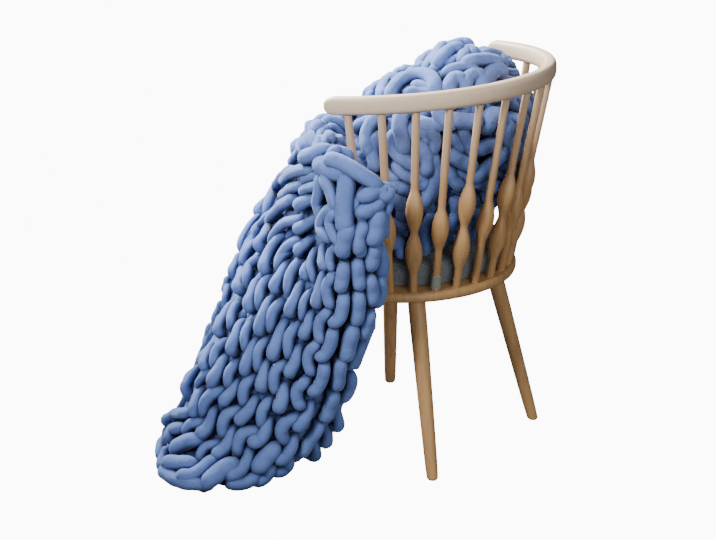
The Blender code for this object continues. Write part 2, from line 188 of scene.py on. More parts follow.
# Loops of yarn drawn out over the knit: radius as a share of the yarn's, or the first and the last
# radius, then each point's (column, row, height). Columns under 0 and over 9 lie past an edge.
TOE_LOOPS = (
    (.61, .96, (2.33, 3.05, .14), (2.37, 2.81, .48), (2.5, 2.53, .66)),
    (.92, .78, (2.64, 2.77, .22), (2.91, 2.79, .48), (2.93, 2.45, .5), (2.67, 1.87, .2)),
    (.63, 1, (2.4, 1.88, .14), (2.32, 1.5, .41), (2.38, 1.07, .55), (2.55, .96, .66)),
    (.86, (1.58, 2.23, .45), (1.68, 1.62, .45), (1.6, 1.01, .45)),
    (1.12, (2.89, 1.54, .6), (2.97, 1.16, .6), (3.05, .64, .6)),
    (.66, 1.04, (3.43, 3, .14), (3.36, 2.68, .41), (3.4, 2.36, .55), (3.53, 2.34, .66)),
    (.86, .73, (4.53, 3.7, .22), (4.88, 3.71, .48), (4.84, 3.39, .5), (4.66, 3, .2)),
    (.9, .77, (3.62, 2.73, .22), (3.91, 2.84, .48), (3.96, 2.53, .5), (3.85, 1.87, .2)),
    (.63, 1, (3.55, 1.88, .14), (3.44, 1.09, .41), (3.54, .43, .55), (3.76, .13, .66)),
    (.63, 1, (4.38, 3.08, .14), (4.27, 2.68, .41), (4.3, 2.28, .55), (4.38, 1.87, .66)),
    (.74, .63, (4.66, 2.58, .22), (5.02, 2.45, .48), (5.11, 1.81, .5), (5.15, 1.32, .2)),
    (1.14, (3.83, .74, .6), (4.14, .29, .6), (4.44, -.44, .6)),
    (.88, (4.5, 1.24, .55), (4.89, .43, .55), (5.4, -.12, .55), (5.97, -.31, .55)),
    (.62, .98, (5.64, 4.16, .14), (5.48, 3.72, .41), (5.42, 3.33, .55), (5.48, 3.15, .66)),
    (.76, .65, (5.84, 3.71, .3), (6.29, 3.84, .5), (6.46, 3.33, .3)),
    (1, (5.57, 2.79, .6), (5.99, 2.5, .6), (6.57, 1.64, .6)),
    (1, (5.59, .67, .6), (6.28, .52, .6), (7.05, .26, .6)),
    (.8, (6.79, 3.59, .4), (7.45, 3.17, .4), (7.44, 2.34, .4)),
    (.76, (6.93, 4.51, .35), (7.59, 4.43, .35), (8.27, 4.19, .35), (8.88, 3.92, .35),
     (9, 3.5, .44), (9, 3, .56)),
    (.55, (8.93, 1.09, .3), (9, .25, .39), (8.78, -.43, .3)),
    (.62, (7.74, 1.06, .35), (7.97, .54, .35), (8.15, .01, .35), (8.1, -.74, .35)),
    (.9, (7.64, -.65, .3), (7.05, -.48, .3), (6.6, -.53, .3), (6.11, -.53, .3), (5.66, -.59, .3),
     (4.84, -.59, .3)),
    (.95, (3.01, -.03, .4), (3.25, -.29, .4), (3.6, -.35, .4)),
    (.86, (2.64, .43, .4), (2.59, -.03, .4), (2.8, -.25, .4)),
    (.82, (1.97, .56, .4), (1.91, .17, .4), (2.27, .12, .4)),
)
FALL_LOOPS = (
    (.59, .94, (5.81, 9.07, .14), (6.02, 8.82, .41), (6.07, 8.5, .55), (5.95, 8.15, .66)),
    (.58, .92, (5.28, 8.01, .14), (5.14, 7.61, .48), (5.09, 7.26, .66)),
    (.57, .89, (4.09, 6.95, .14), (3.98, 6.58, .48), (4.01, 6.23, .66)),
    (.57, .89, (3.27, 5.85, .14), (3.21, 5.59, .48), (3.25, 5.34, .66)),
    (.53, .83, (8.69, 8.31, .14), (8.06, 8.23, .31), (7.48, 8.14, .48), (7.01, 7.9, .66)),
    (.58, .92, (6.4, 8.01, .14), (6.08, 7.57, .48), (5.87, 7.17, .66)),
    (.58, .92, (5.29, 7.06, .14), (5.13, 6.66, .48), (5.05, 6.19, .66)),
    (.63, 1, (4.24, 5.96, .14), (4.16, 5.61, .48), (4.12, 5.16, .66)),
    (.59, .94, (3.35, 4.94, .14), (3.28, 4.6, .48), (3.34, 4.33, .66)),
    (.59, .94, (6.13, 6.87, .14), (5.9, 6.4, .48), (5.82, 6.05, .66)),
    (.57, .89, (5.17, 5.9, .14), (5.11, 5.57, .48), (5.03, 5.14, .66)),
    (.61, .97, (4.35, 4.96, .14), (4.17, 4.59, .48), (4.07, 4.25, .66)),
    (.66, 1.04, (3.38, 3.92, .14), (3.29, 3.67, .48), (3.27, 3.39, .66)),
    (.58, .92, (5.2, 4.83, .14), (5.18, 4.57, .48), (5.3, 4.36, .66)),
    (.61, .96, (4.14, 3.87, .14), (4.11, 3.61, .48), (4.24, 3.39, .66)),
    (.46, .73, (9, 8.62, .56), (9, 8.38, .6), (8.76, 8.15, .66)),
    (.74, .63, (6.96, 8.65, .22), (7.11, 8.44, .48), (6.85, 8.18, .5), (6.86, 8.02, .2)),
    (.76, .65, (5.79, 7.84, .22), (5.76, 7.58, .48), (5.62, 7.26, .5), (5.6, 7.05, .2)),
    (.8, .68, (4.66, 7.75, .22), (4.67, 7.46, .48), (4.58, 7.15, .5), (4.52, 6.89, .2)),
    (.8, .68, (4.69, 6.66, .22), (4.77, 6.49, .48), (4.73, 6.21, .5), (4.71, 6.01, .2)),
    (.62, .53, (3.52, 6.5, .22), (3.58, 6.32, .48), (3.56, 6.08, .5), (3.55, 5.86, .2)),
    (.78, .66, (3.66, 5.66, .22), (3.77, 5.48, .48), (3.71, 5.2, .5), (3.61, 4.85, .2)),
    (.7, .59, (6.82, 7.56, .22), (6.66, 7.28, .48), (6.42, 6.97, .5), (6.5, 6.91, .2)),
    (.68, .58, (5.62, 6.57, .22), (5.58, 6.34, .48), (5.48, 6.07, .5), (5.42, 5.86, .2)),
    (.74, .63, (4.72, 5.7, .22), (4.79, 5.51, .48), (4.7, 5.21, .5), (4.57, 4.9, .2)),
    (.8, .68, (3.64, 4.61, .22), (3.81, 4.55, .48), (3.74, 4.22, .5), (3.6, 3.9, .2)),
    (.74, .63, (5.52, 5.52, .22), (5.61, 5.37, .48), (5.54, 5.1, .5), (5.49, 4.92, .2)),
    (.8, .68, (4.61, 4.66, .22), (4.75, 4.54, .48), (4.64, 4.2, .5), (4.48, 3.91, .2)),
    (.76, .65, (3.64, 3.64, .22), (3.71, 3.48, .48), (3.65, 3.21, .5), (3.55, 2.94, .2)),
    (.55, .47, (9, 7.88, .36), (8.5, 7.71, .5), (8.31, 7.53, .3)),
    (.7, .59, (5.32, 8.39, .3), (5.45, 8.24, .5), (5.54, 8.06, .3)),
    (.5, .42, (8.62, 8.88, .3), (8.45, 8.64, .5), (8.67, 8.48, .3)),
    (.57, .89, (7.53, 9.63, .14), (6.94, 9.2, .48), (6.83, 8.92, .66)),
    (.58, .92, (4.37, 8.38, .14), (4.48, 8.2, .48), (4.62, 8.06, .66)),
    (.57, .89, (3.82, 8.96, .14), (4.17, 8.96, .48), (4.66, 8.96, .66)),
    (.61, .96, (3.51, 9.57, .14), (3.78, 9.67, .48), (4.14, 9.7, .66)),
    (.72, .61, (4.71, 9.32, .22), (5.34, 9.36, .48), (5.97, 9.18, .5), (6.43, 9.03, .2)),
    (.74, .63, (4.88, 8.57, .22), (5.21, 8.53, .48), (5.48, 8.33, .5), (5.63, 8.12, .2)),
    (.85, .72, (4.72, 10.13, .22), (5.18, 10.09, .35), (5.71, 10.03, .48), (6.3, 9.91, .49),
     (6.83, 9.81, .5), (7.65, 9.77, .2)),
    (.8, .68, (2.97, 10.55, .22), (3.36, 10.76, .48), (4.19, 11.01, .5), (4.59, 11.06, .42),
     (5.25, 11.1, .35), (6.77, 11.18, .28), (7.88, 11.38, .26)),
    (.68, (3.85, 10.33, .4), (4.62, 10.52, .4), (5.23, 10.47, .4), (6.04, 10.41, .4)),
    (.6, (2.79, 10.19, .35), (3.23, 10.31, .35), (3.62, 10.44, .35)),
    (.66, (3.04, 9.82, .45), (3.44, 9.99, .45), (3.86, 10.07, .45)),
    (.6, (4.62, 11.29, .35), (5.67, 11.35, .35), (7.12, 11.5, .4), (7.5, 11.38, .56),
     (7.75, 11.25, .57), (8.5, 11.25, .57)),
    (.51, .81, (9, 11.25, .23), (9, 10.88, .6), (9, 10.38, .99)),
    (.98, (1.81, 10.92, .6), (2.25, 10.91, .6), (2.73, 10.97, .6)),
    (.6, (4.04, 11.74, .2), (4.6, 11.81, .2), (5.25, 11.88, .21), (5.12, 11.75, .27),
     (5.75, 11.62, .22)),
    (.6, .51, (8.06, 10.16, .3), (8.22, 9.91, .5), (8.88, 9.75, .41)),
    (.6, .51, (9, 9.75, .52), (9, 9.5, .74), (9, 9.12, .69)),
    (.5, (9, 10.25, .67), (9, 9.88, .94), (9, 9.5, 1.04), (9, 8.88, .96)),
    (.66, .56, (8.51, 9.12, .3), (8.36, 8.79, .5), (8.47, 8.53, .3)),
    (.57, .89, (7.65, 7.56, .14), (7.16, 7.23, .48), (6.87, 6.87, .66)),
    (.65, 1.02, (6.17, 5.97, .14), (6.08, 5.62, .48), (6.09, 5.35, .66)),
    (.5, .79, (7.61, 6.59, .14), (7.1, 6.27, .48), (6.8, 5.95, .66)),
    (.55, .87, (6.66, 5.29, .14), (6.53, 4.92, .48), (6.4, 4.47, .66)),
    (.74, .63, (6.48, 6.51, .22), (6.55, 6.3, .48), (6.45, 6.02, .5), (6.5, 5.91, .2)),
    (.85, .72, (5.64, 4.81, .22), (5.95, 4.89, .48), (6.1, 4.68, .5), (6.09, 4.29, .2)),
    (.6, .51, (6.54, 5.72, .3), (6.71, 5.62, .5), (7.01, 5.48, .3)),
    (.5, (9, 7.5, .3), (9, 7.38, .33), (8.88, 7.12, .33)),
    (.55, (9, 7, .35), (9, 6.75, .28), (8.82, 6.55, .2)),
    (.5, (9, 8, .59), (9, 7.88, .56), (9, 7.75, .45)),
    (.57, .89, (3.13, 6.88, .14), (3.05, 6.52, .48), (3.05, 6.16, .66)),
    (.48, .75, (4.08, 7.55, .14), (3.82, 7.12, .66)),
    (.6, .51, (3.9, 7.77, .22), (3.75, 7.42, .48), (3.55, 7.1, .5), (3.46, 6.85, .2)),
    (.49, .77, (3.44, 7.74, .14), (3.16, 7.39, .48), (2.97, 7.14, .66)),
)
EDGE_LOOPS = (
    (.8, (.49, 7.63, .35), (.35, 7.33, .35), (.43, 6.99, .35)),
    (.8, (.44, 6.77, .35), (.23, 6.47, .35), (.29, 6.08, .35)),
    (.95, (.96, 7.6, .65), (1.04, 7.36, .65), (1.07, 7.12, .65)),
    (.88, (1.07, 6.71, .65), (.91, 6.44, .65), (.78, 6.16, .65)),
    (.86, (.76, 5.72, .65), (.85, 5.44, .65), (.91, 5.13, .65)),
    (.78, (.79, 4.71, .55), (.92, 4.43, .55), (1.04, 4.17, .55)),
    (.82, (.72, 3.84, .55), (.51, 3.57, .55), (.72, 3.26, .55)),
    (.76, (1.59, 7.79, .6), (1.58, 7.59, .6), (1.56, 7.39, .6)),
    (.84, (1.68, 7.08, .65), (1.64, 6.79, .65), (1.55, 6.52, .65)),
    (.9, (1.53, 6.17, .65), (1.48, 5.82, .65), (1.47, 5.48, .65)),
    (1.02, (1.59, 5.14, .7), (1.61, 4.77, .7), (1.59, 4.45, .7)),
    (.9, (1.75, 4.19, .65), (1.66, 3.89, .65), (1.56, 3.62, .65)),
    (.95, (1.56, 3.3, .6), (1.53, 3.01, .6), (1.52, 2.69, .6)),
    (.86, (2.18, 6.99, .75), (2.2, 6.74, .75), (2.25, 6.48, .75)),
    (.82, (2.11, 6.13, .75), (2.12, 5.8, .75), (2.17, 5.56, .75), (2.34, 5.45, .75)),
    (.82, (2.31, 5.11, .75), (2.31, 4.82, .75), (2.39, 4.58, .75), (2.53, 4.49, .75)),
    (.82, (2.33, 4.16, .75), (2.3, 3.9, .75), (2.35, 3.68, .75), (2.46, 3.57, .75)),
    (.6, (2.46, 7.52, .5), (2.72, 7.44, .5), (2.78, 7.23, .5), (2.65, 7.01, .5)),
    (.76, (2.58, 6.78, .55), (2.76, 6.57, .55), (2.71, 6.28, .55), (2.56, 6, .55)),
    (.74, (2.62, 5.76, .55), (2.81, 5.58, .55), (2.8, 5.29, .55), (2.66, 5, .55)),
    (.74, (2.77, 4.85, .55), (2.93, 4.69, .55), (2.88, 4.39, .55), (2.7, 4.11, .55)),
    (.78, (2.8, 3.88, .55), (2.95, 3.73, .55), (2.86, 3.44, .55), (2.7, 3.22, .55)),
)
FLAP_LOOPS = (
    (.95, (1.89, 10.4, 1.15), (1.76, 10.24, 1.15), (1.59, 10, 1.15), (1.32, 9.8, 1.15),
     (.81, 9.69, 1.15)),
    (1.3, (2.3, 10.52, .5), (2.1, 10.23, .5), (1.81, 9.96, .5)),
    (.8, (1.76, 10.7, .7), (1.38, 10.92, .7), (1, 10.88, .75)),
    (1.15, (1.83, 9.68, .65), (2.04, 9.02, .65), (2.13, 8.43, .65), (2.14, 8.09, .65)),
    (.95, (1.34, 9.24, 1.1), (.8, 9.55, 1.1), (-.17, 9.92, 1.1)),
    (.6, (-.05, 10.16, .85), (-.39, 10.13, .85), (-.1, 9.62, .85), (.27, 9.04, .85)),
    (.65, (1.2, 9.48, .6), (1.54, 9.12, .6), (1.6, 8.66, .6), (1.41, 8.35, .6)),
    (1, (1.44, 8.67, .95), (1.1, 8.93, .95), (.73, 9.25, .95)),
    (1.2, (.82, 8.75, .9), (.86, 8.3, .9), (1.03, 7.92, .9)),
    (.85, (1.46, 8.16, .75), (1.65, 7.83, .75), (1.65, 7.5, .75)),
    (1, (2.03, 7.99, .8), (2.16, 7.72, .8), (2.22, 7.44, .8)),
    (.85, (2.73, 9.98, .55), (3.05, 9.58, .55), (3.33, 9.25, .55), (3.24, 8.69, .55)),
    (.8, (2.5, 9.89, .7), (2.51, 9.37, .7), (2.42, 8.77, .7)),
    (.7, (2.42, 8.53, .75), (2.7, 8.29, .75), (2.56, 7.94, .75), (2.36, 7.69, .75)),
    (.8, (2.61, 8.69, .7), (3.04, 8.6, .7), (3.28, 8.29, .7), (2.87, 7.86, .7)),
)
HEAP_LOOPS = (
    (1.05, (3.37, 15.8, .55), (3.89, 16.11, .55), (4.1, 16.52, .55), (3.91, 16.88, .55),
     (3.48, 17.14, .55), (2.99, 17.24, .55)),
    (.85, (3.66, 16.57, .25), (3.34, 16.96, .25), (3.01, 17.21, .25)),
    (.8, (3.4, 16.24, .15), (3.4, 16.68, .15), (3.01, 17.1, .15)),
    (.8, (5.09, 14.95, .15), (5.38, 15.12, .25), (5.5, 15.38, .34)),
    (.9, (3.72, 15.38, .3), (4.4, 15.4, .3), (5.88, 15.75, .36), (5.44, 15.88, .3)),
    (.9, (3.45, 15.68, .4), (4, 15.88, .4), (4.43, 16.21, .4)),
    (.8, (5.75, 16, .3), (6, 16.25, .35), (5.75, 16.38, .33)),
    (.8, (4.59, 16.44, .3), (4.89, 16.71, .3), (4.73, 16.94, .3)),
    (.9, (5.09, 16.82, .35), (5.88, 17, .43), (5.75, 17.25, .45)),
    (.85, (4.17, 16.99, .4), (4.63, 17.13, .4), (4.99, 17.25, .4)),
    (1, (4.28, 17.31, .45), (5.15, 17.37, .45), (5.75, 17.62, .63)),
    (1.05, (5.75, 17.75, .43), (5.62, 17.88, .54), (5.62, 18.12, .62), (5.5, 18.25, .48)),
    (1.15, (4.1, 17.4, .55), (4.45, 17.58, .55), (4.74, 17.78, .55), (4.69, 17.95, .55)),
    (1.05, (4, 18.02, .4), (4.44, 18.1, .4), (4.74, 18.26, .4), (4.37, 18.33, .4)),
    (.8, (3.92, 17.64, .3), (4.16, 17.78, .3), (4.18, 17.96, .3)),
    (.95, (3.94, 17.17, .3), (4.09, 17.39, .3), (4.04, 17.63, .3)),
    (1, (3.57, 17.58, .45), (3.66, 17.89, .45), (3.68, 18.12, .45), (3.55, 18.32, .45)),
    (1.15, (3.83, 18.14, .6), (3.97, 18.44, .6), (4.07, 18.7, .6), (4.05, 18.93, .6)),
    (.8, (4.54, 18.44, .2), (5.19, 18.58, .2), (5.62, 18.75, .28)),
    (1.05, (4.5, 18.63, .4), (4.85, 18.88, .4), (4.92, 19.09, .4), (4.43, 19.15, .4)),
    (1.15, (2.86, 17.54, .55), (3.13, 17.67, .55), (3.24, 17.81, .55), (3.13, 17.93, .55)),
    (1.1, (2.91, 18.02, .55), (3.21, 18.13, .55), (3.38, 18.32, .55), (3.35, 18.47, .55)),
    (1.15, (3.02, 18.48, .55), (3.37, 18.67, .55), (3.74, 18.9, .55), (3.84, 19.1, .55)),
    (.8, (3.78, 17.35, .1), (3.62, 17.57, .1), (3.49, 17.75, .1)),
    (1, (2.4, 15.19, .55), (2.1, 14.9, .55), (1.65, 14.71, .55), (1.05, 14.71, .55)),
    (.9, (2.52, 14.3, .3), (2.62, 14.7, .3), (2.59, 15.13, .3)),
    (1, (1.62, 15.1, .3), (1.06, 14.84, .3), (.49, 14.86, .3)),
    (1.15, (2.28, 16.11, .6), (1.91, 16.03, .6), (1.56, 16.05, .6), (1.2, 16.09, .6)),
    (1.1, (1.61, 15.77, .5), (1.29, 15.73, .5), (.99, 15.89, .5), (.82, 16.12, .5),
     (.65, 16.33, .5)),
    (1, (.61, 15.76, .3), (.37, 15.95, .3), (.15, 16.27, .3)),
    (.9, (.24, 15.35, .2), (.12, 15.66, .2)),
    (1, (-.14, 15.51, .3), (-.18, 15.75, .3), (-.24, 15.95, .3)),
    (1.1, (-.64, 15.46, .3), (-.72, 15.75, .3), (-.96, 15.89, .3), (-1.27, 15.85, .3)),
    (.9, (-1.55, 15.57, .2), (-1.52, 15.99, .2)),
    (1, (-2.37, 15.38, .2), (-2.25, 15.64, .2), (-2.54, 15.7, .2)),
    (.9, (1.87, 16.22, .1), (1.48, 16.29, .1)),
    (1.05, (1.22, 16.57, .5), (.97, 16.74, .5), (.69, 16.78, .5), (.4, 16.74, .5)),
    (1.1, (.82, 16.93, .25), (.46, 17.06, .25), (.07, 17.06, .25), (-.36, 16.9, .25),
     (-.75, 16.65, .25)),
    (1, (1.65, 16.91, .3), (1.36, 17.05, .3), (1.01, 16.97, .3)),
    (.9, (1.78, 16.62, .2), (1.48, 16.77, .2), (1.26, 16.72, .2)),
    (1.1, (1.97, 16.63, .25), (1.82, 16.96, .25), (1.84, 17.32, .25)),
    (.9, (.22, 16.47, .2), (.05, 16.66, .2), (-.2, 16.65, .2)),
    (1.2, (-2.37, 16.57, .3), (-1.86, 16.67, .3), (-1.46, 16.87, .3)),
    (1.1, (.79, 17.6, .5), (.56, 17.95, .5), (.35, 18.4, .5)),
    (.95, (1.36, 17.57, .3), (1.15, 17.81, .3), (.86, 17.93, .3)),
    (1, (1.54, 17.98, .35), (1.18, 18.13, .35), (.8, 18.37, .35)),
    (.95, (.27, 17.59, .2), (-.09, 17.77, .2), (-.39, 18.09, .2)),
    (.9, (.17, 17.96, .1), (-.03, 18.3, .1), (-.14, 18.62, .1)),
    (1.15, (1.91, 17.54, .6), (1.81, 17.97, .6), (1.81, 18.39, .6)),
    (1.1, (2.28, 17.19, .55), (2.02, 17.27, .55), (1.78, 17.55, .55)),
    (1, (-1.6, 17.73, .2), (-1.29, 18.02, .2), (-.93, 17.93, .2)),
    (1.2, (1.67, 18.83, .4), (2.05, 18.9, .4), (2.17, 19.11, .4)),
    (1.1, (.89, 18.72, .3), (1.04, 19.02, .3), (1.18, 19.4, .3)),
    (1.1, (-.04, 18.62, .5), (.29, 19.1, .5), (.79, 19.57, .5), (1.18, 19.79, .5)),
    (.95, (-.32, 18.82, .2), (-.32, 19.27, .2), (-.21, 19.99, .2)),
    (1.1, (2.22, 19.69, .3), (1.78, 19.83, .3), (1.56, 20.22, .3), (1.03, 20.35, .3),
     (.73, 20.64, .3)),
    (.9, (3.62, 20.75, .25), (3.25, 20.88, .49), (2.75, 20.88, .45)),
)
OUTER_LOOPS = TOE_LOOPS + FALL_LOOPS + EDGE_LOOPS + FLAP_LOOPS


# ------ blanket's middle surface

def smooth_through(knots, values, places):
    """Non-uniform Catmull-Rom through stations, for an array of places."""
    shape = (-1, *([1] * (values.ndim - 1)))
    span = np.diff(knots)
    slope = np.diff(values, axis=0) / span.reshape(shape)
    tangent = np.empty_like(values)
    tangent[0], tangent[-1] = slope[0], slope[-1]
    share = (span[1:] / (span[1:] + span[:-1])).reshape(shape)
    tangent[1:-1] = slope[:-1] * share + slope[1:] * (1 - share)
    i = np.clip(np.searchsorted(knots, places, side="right") - 1, 0, len(knots) - 2)
    t = ((places - knots[i]) / span[i]).reshape(shape)
    step = span[i].reshape(shape)
    return ((2 * t**3 - 3 * t**2 + 1) * values[i] + (t**3 - 2 * t**2 + t) * step * tangent[i]
            + (3 * t**2 - 2 * t**3) * values[i + 1] + (t**3 - t**2) * step * tangent[i + 1])


SECTION_ROWS = np.array([line[0] for line in SECTIONS])
SECTION_LINES = np.array([line[1:] for line in SECTIONS], float)
SECTION_COLUMNS = np.linspace(0, COLUMNS, SECTION_LINES.shape[1])
FINE = 12  # steps per stitch in the lookup grids
GRID_ROWS = np.arange(ROWS * FINE + 1) / FINE
GRID_COLUMNS = np.arange(COLUMNS * FINE + 1) / FINE
PLACE_GRID = np.stack([smooth_through(SECTION_COLUMNS, line, GRID_COLUMNS)
                       for line in smooth_through(SECTION_ROWS, SECTION_LINES, GRID_ROWS)])


def grid_value(grid, column, row):
    """Bilinear lookup, carried on in a straight line past the four edges."""
    u, v = column * FINE, row * FINE
    i = np.clip(np.floor(v).astype(int), 0, grid.shape[0] - 2)
    j = np.clip(np.floor(u).astype(int), 0, grid.shape[1] - 2)
    v, u = (v - i)[..., None], (u - j)[..., None]
    return ((grid[i, j] * (1 - u) + grid[i, j + 1] * u) * (1 - v)
            + (grid[i + 1, j] * (1 - u) + grid[i + 1, j + 1] * u) * v)


def normal_grid(step=0.45):
    """The outward direction over the whole blanket, taken across so many stitches each way."""
    columns, rows = np.meshgrid(GRID_COLUMNS, GRID_ROWS)
    across = (grid_value(PLACE_GRID, np.minimum(columns + step, COLUMNS), rows)
              - grid_value(PLACE_GRID, np.maximum(columns - step, 0), rows))
    along = (grid_value(PLACE_GRID, columns, np.minimum(rows + step, ROWS))
             - grid_value(PLACE_GRID, columns, np.maximum(rows - step, 0)))
    normal = np.cross(along, across)
    return normal / np.linalg.norm(normal, axis=-1, keepdims=True)


NORMAL_GRID = normal_grid()


def on_blanket(points):
    """Places in metres, and outward directions, of points that start with (column, row, height)."""
    column, row = points[:, 0], points[:, 1]
    normal = grid_value(NORMAL_GRID, np.clip(column, 0, COLUMNS), np.clip(row, 0, ROWS))
    normal /= np.linalg.norm(normal, axis=-1, keepdims=True)
    return grid_value(PLACE_GRID, column, row) + normal * points[:, 2:3] * YARN, normal


# ------ mesh helpers

def new_piece(name, verts, faces, look, uvs=None):
    """A smooth-shaded mesh object, moved from the seat's centre to its place in the frame."""
    mesh = bpy.data.meshes.new(name)
    mesh.from_pydata(verts, [], faces)
    if uvs is not None:
        layer = mesh.uv_layers.new(name="along")
        layer.data.foreach_set("uv", np.asarray(uvs, np.float32).ravel())
    mesh.materials.append(look)
    mesh.shade_smooth()
    mesh.transform(Matrix.Translation(SHIFT))
    item = bpy.data.objects.new(name, mesh)
    bpy.context.scene.collection.objects.link(item)
    return item


def take_place(item, node):
    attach(item, "root")
    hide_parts(node)


def ring_faces(rings, sides):
    """Quads between rings of points that follow each other, and a polygon over each end."""
    faces = [(r * sides + i, r * sides + (i + 1) % sides, (r + 1) * sides + (i + 1) % sides,
              (r + 1) * sides + i) for r in range(rings - 1) for i in range(sides)]
    return faces + [tuple(range(sides))[::-1], tuple((rings - 1) * sides + i for i in range(sides))]


def catmull(points, steps):
    """A smooth open curve through rows of numbers, with so many steps between each pair."""
    padded = np.concatenate([2 * points[:1] - points[1:2], points,
                             2 * points[-1:] - points[-2:-1]])
    t = (np.arange(steps) / steps)[None, :, None]
    a, b, c, d = (padded[k:len(padded) - 3 + k, None, :] for k in range(4))
    curve = 0.5 * (2 * b + (c - a) * t + (2 * a - 5 * b + 4 * c - d) * t**2
                   + (3 * b - a - 3 * c + d) * t**3)
    return np.concatenate([curve.reshape(-1, points.shape[1]), points[-1:]])


def tube(path, radius, guide, sides):
    """Verts, faces and UVs of a yarn along a path; guide is the direction that it is flatter in."""
    along = np.gradient(path, axis=0)
    along /= np.linalg.norm(along, axis=1, keepdims=True)
    side = np.cross(along, guide)
    side /= np.linalg.norm(side, axis=1, keepdims=True) + 1e-9
    for i in range(1, len(side)):
        if side[i] @ side[i - 1] < 0:
            side[i] = -side[i]
    for _ in range(3):
        side[1:-1] = (side[:-2] + 2 * side[1:-1] + side[2:])
        side -= (side * along).sum(1, keepdims=True) * along
        side /= np.linalg.norm(side, axis=1, keepdims=True) + 1e-9
    up = np.cross(side, along)
    turn = np.linspace(0, 2 * np.pi, sides, endpoint=False)
    verts = (path[:, None] + radius[:, None, None] * (np.cos(turn)[None, :, None] * side[:, None]
             + YARN_SQUASH * np.sin(turn)[None, :, None] * up[:, None]))
    count = len(path)
    ring = np.arange(sides)
    a = (np.arange(count - 1)[:, None] * sides + ring).ravel()
    b = (np.arange(count - 1)[:, None] * sides + (ring + 1) % sides).ravel()
    faces = np.stack([a, b, b + sides, a + sides], 1)
    length = np.concatenate([[0], np.cumsum(np.linalg.norm(np.diff(path, axis=0), axis=1))])
    u = np.tile(ring / sides, count - 1)
    v0, v1 = np.repeat(length[:-1], sides), np.repeat(length[1:], sides)
    uv = np.stack([np.stack([u, v0], 1), np.stack([u + 1 / sides, v0], 1),
                   np.stack([u + 1 / sides, v1], 1), np.stack([u, v1], 1)], 1)
    return verts.reshape(-1, 3), faces, uv.reshape(-1, 2)


class Yarns:
    """Collects tubes into one piece, rounding off each tube's two ends."""

    def __init__(self):
        self.verts, self.faces, self.uvs, self.count = [], [], [], 0

    def add(self, path, radius, guide, sides):
        taper = np.ones(len(path))
        for k, share in enumerate(END_SHARES):
            taper[k] = taper[-1 - k] = share
        verts, faces, uvs = tube(path, radius * taper, guide, sides)
        self.verts.append(verts)
        self.faces.append(faces + self.count)
        self.uvs.append(uvs)
        self.count += len(verts)

    def piece(self, name, look):
        verts, faces = np.concatenate(self.verts), np.concatenate(self.faces)
        uvs = np.concatenate(self.uvs)
        item = new_piece(name, verts.tolist(), faces.tolist(), look, uvs)
        take_place(item, "blanket")


# ------ knit

# One stitch, from the sinker on its far side to the one on its near side: columns and rows from the
# stitch's corner, height in yarn thicknesses, and radius as a share of half the yarn's thickness.
# The far leg bows out and tucks under; the near leg swells to its foot, which lies over the rest.
STITCH = np.array((
    (0.86, -0.04, -0.42, 0.80), (0.64, -0.16, -0.26, 0.62), (0.59, 0.02, 0.10, 0.64),
    (0.63, 0.20, 0.36, 0.68), (0.71, 0.38, 0.48, 0.72), (0.78, 0.57, 0.44, 0.78),
    (0.76, 0.74, 0.20, 0.82), (0.62, 0.90, -0.16, 0.76), (0.46, 1.06, -0.42, 0.70),
    (0.52, 1.24, -0.30, 0.62), (0.43, 1.03, 0.10, 0.62), (0.28, 0.78, 0.36, 0.68),
    (0.15, 0.50, 0.54, 0.78), (0.07, 0.28, 0.62, 0.88), (0.03, 0.15, 0.52, 0.90),
    (0.03, 0.05, 0.00, 0.86),
))


def row_points(row, rng):
    """One row of stitches as (column, row, height, radius) points, far edge to near edge."""
    blocks = []
    for column in reversed(range(COLUMNS)):
        block = STITCH + (column, row, rng.normal(0, UNEVEN_HEIGHT), 0.0)
        block[:, 3] *= 1 + rng.normal(0, UNEVEN_RADIUS)
        block[:, 0] += rng.normal(0, UNEVEN_LEAN) * np.sin(np.pi * np.clip(STITCH[:, 1], 0, 1))
        blocks.append(block)
    return np.concatenate(blocks)


def loop_curve(loop):
    """A drawn loop, both ends tucked into the knit, as (column, row, height, radius) points."""
    shares = [part for part in loop if not isinstance(part, tuple)]
    points = np.array(loop[len(shares):], float)
    down = (0, 0, TUCK_DROP)
    first = points[0] + (points[0] - points[1]) * TUCK_REACH * (1, 1, 0) - down
    last = points[-1] + (points[-1] - points[-2]) * TUCK_REACH * (1, 1, 0) - down
    points = np.concatenate([first[None], points, last[None]])
    radii = np.linspace(shares[0], shares[-1], len(points))[:, None]
    radii[[0, -1]] *= TUCK_SHARES[0]
    radii[[1, -2]] *= TUCK_SHARES[1]
    return catmull(np.concatenate([points, radii], 1), 6)


def back_curves(row, depth):
    """The two lines of bumps that a row's heads and sinkers make on the reverse."""
    column = np.linspace(BACK_INSET, COLUMNS - BACK_INSET, COLUMNS * 8)
    for rise, way in BACK_LINES:
        yield np.stack([column, row + rise + way * BACK_SWAY * np.sin(2 * np.pi * column),
                        np.full(len(column), BACK_SHARE / 2 - depth)], 1)


def selvedge(first, last):
    """The two strands that turn back from row to row along the far edge, which part at its top."""
    row = np.arange(first, min(last, EDGE_ROWS) + 0.05, 0.1)
    for rise in EDGE_RISES if first < EDGE_ROWS else ():
        yield np.stack([COLUMNS - EDGE_INSET + EDGE_SWAY * np.sin(2 * np.pi * row), row,
                        rise * np.clip(row - EDGE_PARTING, 0, 1)], 1)


